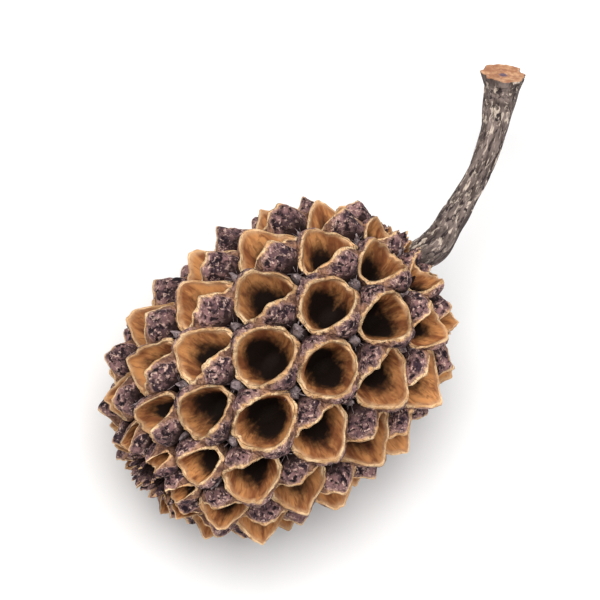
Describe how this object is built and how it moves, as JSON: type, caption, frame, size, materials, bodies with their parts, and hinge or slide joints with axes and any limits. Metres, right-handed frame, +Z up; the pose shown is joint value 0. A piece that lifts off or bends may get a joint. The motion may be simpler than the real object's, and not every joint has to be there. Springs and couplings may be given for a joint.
{
  "type": "casuarina cone",
  "caption": "Woody casuarina cone lying on its side: a barrel head of open beak-like fruits with small bracts between them, and a short bent stalk ending in a flared cut.",
  "frame": {"origin": "middle of the bounding box, on the surface that the cone lies on", "axes": "+X along the cone's axis from its tip toward its stalk, +Y toward the side that the stalk bends to, +Z up"},
  "size_m": [0.032, 0.0156, 0.0154],
  "materials": {
    "head_wood": "matt weathered valves, purple-brown outside, tan at the rims and golden brown inside",
    "stalk_bark": "matt grey flecked bark with a tan cut end"
  },
  "bodies": {
    "root": {"cone_head": "head_wood", "stem": "stalk_bark"}
  },
  "joints": []
}
